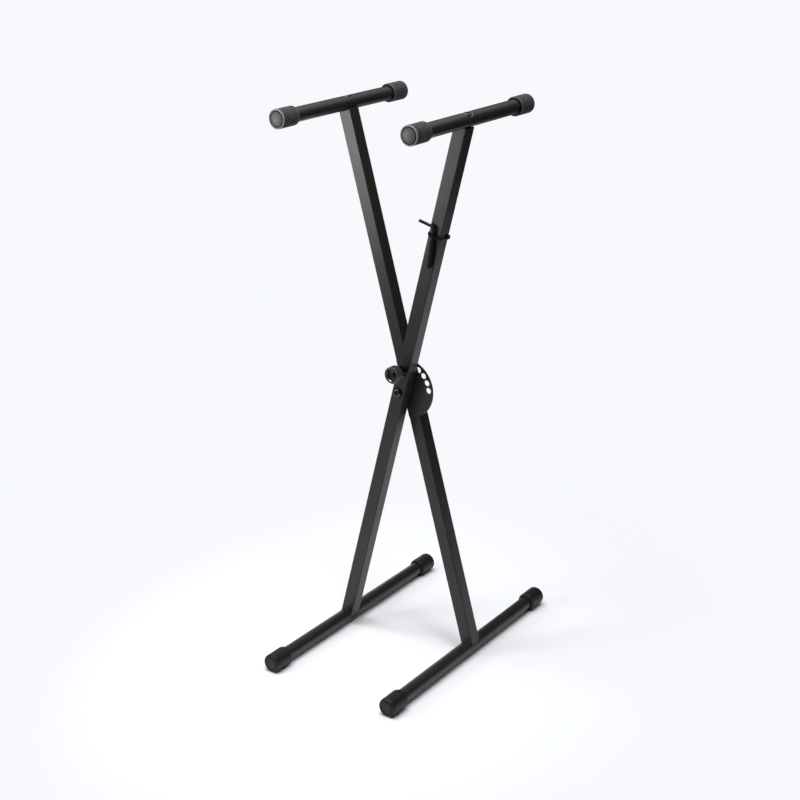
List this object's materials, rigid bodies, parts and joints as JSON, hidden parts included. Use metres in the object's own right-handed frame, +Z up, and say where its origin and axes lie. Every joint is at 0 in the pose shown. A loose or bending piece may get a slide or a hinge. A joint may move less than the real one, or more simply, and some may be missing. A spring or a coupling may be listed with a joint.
{
  "type": "x-style keyboard stand",
  "caption": "Folding scissor stand with square legs, round foot bars and arms, a height lock plate and a pull pin at the pivot.",
  "frame": {"origin": "on the floor, midway between the four feet", "axes": "+X across the spread of the legs, +Y along the foot bars from the lock knob's side to the nut's, +Z up"},
  "size_m": [0.2958, 0.502, 1.0061],
  "materials": {
    "black_powder_coat": "satin black powder coat",
    "rubber_cap": "matte, finely ribbed",
    "black_plastic": "moulded black plastic",
    "nylon": "plain nylon",
    "zinc_plate": "bright zinc plated steel",
    "dark_zinc": "blackened steel"
  },
  "bodies": {
    "pivot": {"pivot_bolt": "dark_zinc", "pivot_washer_front": "dark_zinc", "pivot_spacer": "nylon", "pivot_washer_rear": "zinc_plate", "pivot_nut": "zinc_plate"},
    "front_leg": {"front_leg_tube": "black_powder_coat", "front_foot_bar": "black_powder_coat", "front_foot_cap_near": "rubber_cap", "front_foot_cap_far": "rubber_cap", "front_arm_tube": "black_powder_coat", "front_arm_cap_near": "rubber_cap", "front_arm_cap_far": "rubber_cap", "front_arm_screw": "dark_zinc", "front_arm_insert": "zinc_plate", "front_pivot_bush": "zinc_plate", "lock_housing": "dark_zinc", "lock_housing_plug": "zinc_plate", "lock_spring": "zinc_plate", "hex_key": "dark_zinc", "hex_key_sleeve": "black_plastic", "cable_tie": "black_plastic"},
    "rear_leg": {"rear_leg_tube": "black_powder_coat", "rear_foot_bar": "black_powder_coat", "rear_foot_cap_near": "rubber_cap", "rear_foot_cap_far": "rubber_cap", "rear_arm_tube": "black_powder_coat", "rear_arm_cap_near": "rubber_cap", "rear_arm_cap_far": "rubber_cap", "rear_arm_screw": "dark_zinc", "rear_arm_insert": "zinc_plate", "rear_pivot_bush": "zinc_plate", "lock_plate": "black_powder_coat"},
    "pull_pin": {"lock_pin": "dark_zinc", "lock_knob": "black_plastic", "lock_knob_nut": "dark_zinc"}
  },
  "joints": [
    {"name": "front_leg_swing", "type": "hinge", "parent": "pivot", "child": "front_leg", "pos_m": [0, 0, 0.49918], "axis": [0, 1, 0], "range_deg": [-12.75, 35]},
    {"name": "rear_leg_swing", "type": "hinge", "parent": "pivot", "child": "rear_leg", "pos_m": [0, 0, 0.49918], "axis": [0, 1, 0], "range_deg": [-35, 12.75]},
    {"name": "pull_pin_slide", "type": "slide", "parent": "front_leg", "child": "pull_pin", "axis": [0, -1, 0], "range_m": [-0.0034, 0.006], "deforming": ["lock_spring"]}
  ],
  "couplings": [
    {"joint": "rear_leg_swing", "follows": "front_leg_swing", "ratio": -1}
  ]
}
